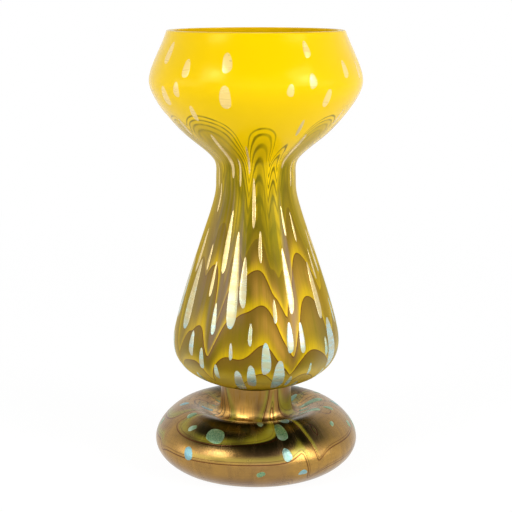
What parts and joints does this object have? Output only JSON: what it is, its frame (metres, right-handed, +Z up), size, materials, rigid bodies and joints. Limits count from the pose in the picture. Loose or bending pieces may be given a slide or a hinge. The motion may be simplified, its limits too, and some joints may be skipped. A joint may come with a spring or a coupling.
{
  "type": "vase",
  "caption": "Free-standing blown glass vase with a wide cup, narrow neck, bell-shaped body, short stem and cushion foot, with pulled threads and lustrous spots.",
  "frame": {"origin": "centre of the standing surface, on the vase's axis", "axes": "+Z up along the vase's axis; X and Y are level, and the vase is round about +Z"},
  "size_m": [0.105, 0.105, 0.22],
  "materials": {
    "yellow_glass": "opaque yellow glass, soft gloss",
    "threaded_lustre": "yellow and olive pulled threads under a satin iridescent lustre, with silver spots",
    "amber_glass": "ground and polished amber glass",
    "bronze_lustre": "gold-brown satin iridescent lustre with dark contour threads and silver spots"
  },
  "bodies": {
    "root": {"vessel_lining": "yellow_glass", "vessel_casing": "threaded_lustre", "foot_core": "amber_glass", "foot_casing": "bronze_lustre"}
  },
  "joints": []
}
